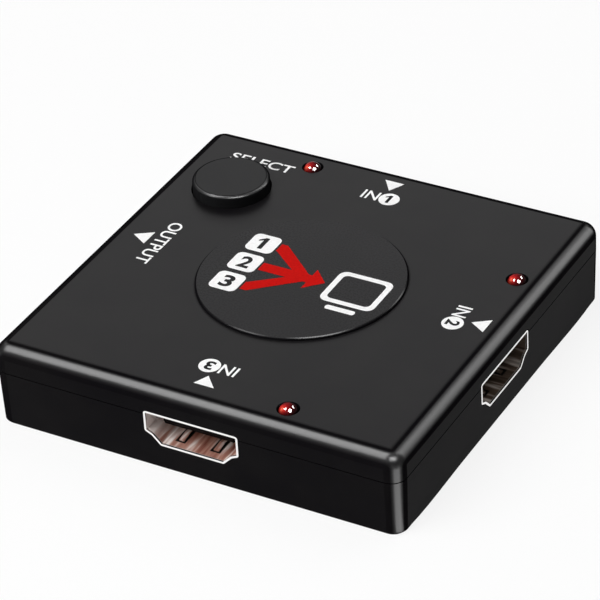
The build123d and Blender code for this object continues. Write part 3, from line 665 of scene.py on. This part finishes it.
# Studio: a pale floor and a white surround. Soft lamps give the even light, and cards that only
# reflections see draw the bright bands on the rolled edges. "towards" is the direction from the box, a
# metre away, "along" is the direction of a panel's length, and the panels' sizes and the floor's reach
# are in metres.
studio = {
    "floor": "#f4f4f4", "floorReach": 3.0, "floorGap": 0.05,
    # Share of the floor's look that is plain white light, so that it stays pale, and how much of that
    # share reflections see
    "floorLift": 0.85, "floorMirrored": 1.0,
    # The surround is full white to the camera. Its fill is what it gives as plain light, and reflections
    # see it a share of the way from that to full white.
    "surroundFill": 0.16, "surroundMirrored": 0.1,
    "lamps": {
        "softKey": {
            "towards": (-0.36, -0.6, 0.72), "along": (0, 0.785, 0.62),
            "radiance": 4.2, "width": 0.8, "length": 0.8,
        },
        "softBack": {
            "towards": (0.3, 0.55, 0.78), "along": (1, 0, 0),
            "radiance": 1.3, "width": 0.7, "length": 0.7,
        },
    },
    "cards": {
        "frontBand": {
            "towards": (-0.42, -0.22, 0.88), "along": (0, 0.785, 0.62),
            "radiance": 10.5, "width": 0.4, "length": 0.95,
        },
        "rightBand": {
            "towards": (0.44, 0.713, 0.55), "along": (-0.3, -0.38, 0.87),
            "radiance": 4.4, "width": 0.36, "length": 1.15,
        },
        "topSheen": {
            "towards": (-0.42, 0.713, 0.56), "along": (0.86, 0.5, 0),
            "radiance": 1.95, "width": 0.7, "length": 1.1,
        },
        "overhead": {
            "towards": (0.42, -0.36, 0.83), "along": (1, 0.5, 0),
            "radiance": 17, "width": 0.4, "length": 0.6,
        },
    },
    "glints": {  # small bright spots on the lamp lenses
        "round": {
            "towards": (0.5, -0.29, 0.81), "along": (1, 0, 0),
            "radiance": 170, "width": 0.56, "length": 0.56,
        },
        "long": {
            "towards": (0.36, 0.65, 0.67), "along": (0.86, -0.5, 0),
            "radiance": 120, "width": 0.2, "length": 0.46,
        },
        "left": {
            "towards": (-0.39, -0.34, 0.85), "along": (1, 0, 0),
            "radiance": 130, "width": 0.38, "length": 0.38,
        },
    },
    "cornerFan": {
        "middle": (29.2, -29.2, 0.2), "turn": -30.6, "halfAngle": 22, "near": 2.5, "far": 24.0, "strength": 5,
    },
}

# The glints shine only on the lenses, the front band on all but the lenses, and the other cards on all
# but the lenses and the sockets
lensesOnly = bpy.data.collections.new("lampLensesOnly")
notLenses = bpy.data.collections.new("allButLampLenses")
notLensesOrSockets = bpy.data.collections.new("allButLampLensesAndSockets")
for name, piece in frame["nodes"].items():
    isLens = name.endswith("_lens")
    if isLens:
        lensesOnly.objects.link(piece)
        notLenses.objects.link(piece)
    if isLens or "_socket_" in name:
        notLensesOrSockets.objects.link(piece)
for member in [*notLenses.collection_objects, *notLensesOrSockets.collection_objects]:
    member.light_linking.link_state = "EXCLUDE"


def makePanel(name, look, onlyReflected, shinesOn=None):
    # Lit panel that faces the box
    towards = Vector(look["towards"]).normalized()
    along = Vector(look["along"])
    along = (along - along.dot(towards) * towards).normalized()
    across = along.cross(towards)
    data = bpy.data.lights.new(name, "AREA")
    data.shape = "RECTANGLE"
    data.size, data.size_y = look["width"], look["length"]
    # A panel of area A and radiance L needs about 4 A L
    data.energy = 4 * look["width"] * look["length"] * look["radiance"]
    lamp = bpy.data.objects.new(name, data)
    lamp.location = towards
    lamp.rotation_euler = Matrix((across, along, towards)).transposed().to_euler()
    lamp.visible_camera = False
    lamp.visible_diffuse = not onlyReflected
    lamp.visible_glossy = onlyReflected
    if shinesOn:
        lamp.light_linking.receiver_collection = shinesOn
    scene.collection.objects.link(lamp)


for name, look in studio["lamps"].items():
    makePanel(name, look, False)
for name, look in studio["cards"].items():
    makePanel(name, look, True, notLenses if name == "frontBand" else notLensesOrSockets)
for name, look in studio["glints"].items():
    makePanel(name, look, True, lensesOnly)


def makeCornerFan(look):
    # Fan-shaped card flat on the table: only the upright edge nearest the camera reflects it
    corners = []
    for reach, side in ((look["near"], 1), (look["near"], -1), (look["far"], -1), (look["far"], 1)):
        angle = math.radians(look["turn"] + side * look["halfAngle"])
        corners.append(Vector(look["middle"]) + reach * Vector((math.cos(angle), math.sin(angle), 0)))
    mesh = bpy.data.meshes.new("cornerFan")
    mesh.from_pydata([corner * mm for corner in corners], [], [(3, 2, 1, 0)])
    material, tree = newMaterial("cardLight")
    light = addNode(tree, "ShaderNodeEmission", {"Strength": look["strength"]})
    addNode(tree, "ShaderNodeOutputMaterial", links={"Surface": light})
    mesh.materials.append(material)
    fan = bpy.data.objects.new("cornerFan", mesh)
    fan.visible_camera = fan.visible_diffuse = fan.visible_shadow = fan.visible_transmission = False
    scene.collection.objects.link(fan)


makeCornerFan(studio["cornerFan"])


def seenShare(tree, mirroredShare):
    # 1 for the rays that show the background, a share for reflections, 0 for plain light
    path = addNode(tree, "ShaderNodeLightPath").outputs
    mirrored = addNode(tree, "ShaderNodeMath", {"operation": "MULTIPLY", 1: mirroredShare},
                       {0: path["Is Glossy Ray"]})
    direct = addNode(tree, "ShaderNodeMath", {"operation": "MAXIMUM"},
                     {0: path["Is Camera Ray"], 1: path["Is Transmission Ray"]})
    return addNode(tree, "ShaderNodeMath", {"operation": "MAXIMUM"}, {0: direct, 1: mirrored})


def makeSurround(look):
    world = bpy.data.worlds.new("whiteSurround")
    scene.world = world
    world.use_nodes = True
    tree = world.node_tree
    tree.nodes.clear()
    strength = addNode(tree, "ShaderNodeMapRange", span(0.0, 1.0, look["surroundFill"], 1.0),
                       {"Value": seenShare(tree, look["surroundMirrored"])})
    background = addNode(tree, "ShaderNodeBackground", {"Color": (1, 1, 1, 1)}, {"Strength": strength})
    addNode(tree, "ShaderNodeOutputWorld", links={"Surface": background})


def makeFloor(look):
    reach = look["floorReach"]
    mesh = bpy.data.meshes.new("studioFloor")
    corners = ((-reach, -reach), (reach, -reach), (reach, reach), (-reach, reach))
    # A hair under the object, and clear from below, so that the underside can be looked at
    mesh.from_pydata([(x, y, -look["floorGap"] * mm) for x, y in corners], [], [(0, 1, 2, 3)])
    material, tree = newMaterial("paleFloor")
    lift = addNode(tree, "ShaderNodeMath", {"operation": "MULTIPLY", 1: look["floorLift"]},
                   {0: seenShare(tree, look["floorMirrored"])})
    paint = addNode(tree, "ShaderNodeBsdfDiffuse", {"Color": linearColour(look["floor"])})
    light = addNode(tree, "ShaderNodeEmission", {"Color": (1, 1, 1, 1), "Strength": 1.0})
    lit = addNode(tree, "ShaderNodeMixShader", links={0: lift, 1: paint, 2: light})
    fromBelow = addNode(tree, "ShaderNodeNewGeometry").outputs["Backfacing"]
    clear = addNode(tree, "ShaderNodeBsdfTransparent")
    surface = addNode(tree, "ShaderNodeMixShader", links={0: fromBelow, 1: lit, 2: clear})
    addNode(tree, "ShaderNodeOutputMaterial", links={"Surface": surface})
    mesh.materials.append(material)
    floor = bpy.data.objects.new("studioFloor", mesh)
    scene.collection.objects.link(floor)


makeSurround(studio)
makeFloor(studio)
print("studio lit")
